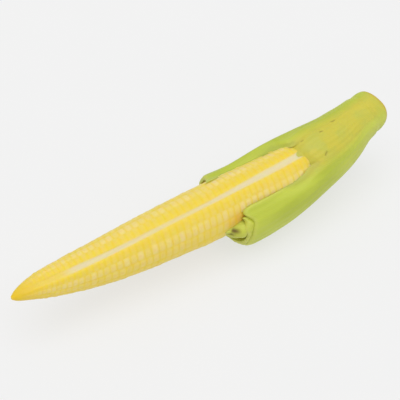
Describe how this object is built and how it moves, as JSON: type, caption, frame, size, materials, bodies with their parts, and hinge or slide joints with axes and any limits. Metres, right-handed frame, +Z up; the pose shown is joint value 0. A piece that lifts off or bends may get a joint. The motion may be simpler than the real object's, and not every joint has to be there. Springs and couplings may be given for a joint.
{
  "type": "young corn cob",
  "caption": "Young ear of corn trimmed for the table: a bare cob with rows of small kernels, lying in the cut-open base of its husk on a short cut shank.",
  "frame": {"origin": "middle of the ear's footprint, on the surface it lies on", "axes": "+X along the ear from the tip to the shank, +Z up, the cut window in the husk facing up and a little towards -Y"},
  "size_m": [0.1316, 0.0246, 0.0272],
  "materials": {
    "kernel": "fresh, moist and slightly glossy kernels",
    "shank": "matt, fibrous plant stem, browned at the cut",
    "leaf_green": "waxy leaf, satin, fine lengthwise veins",
    "leaf_pale": "waxy leaf, satin, fine lengthwise veins",
    "leaf_yellow": "thin moist inner leaf, satin"
  },
  "bodies": {
    "root": {"cob": "kernel", "shank": "shank", "husk_leaf_front_outer": "leaf_green", "husk_leaf_back_outer": "leaf_green", "husk_leaf_front_middle": "leaf_pale", "husk_leaf_cradle": "leaf_pale", "husk_leaf_cradle_inner": "leaf_yellow", "husk_leaf_top": "leaf_yellow"}
  },
  "joints": []
}
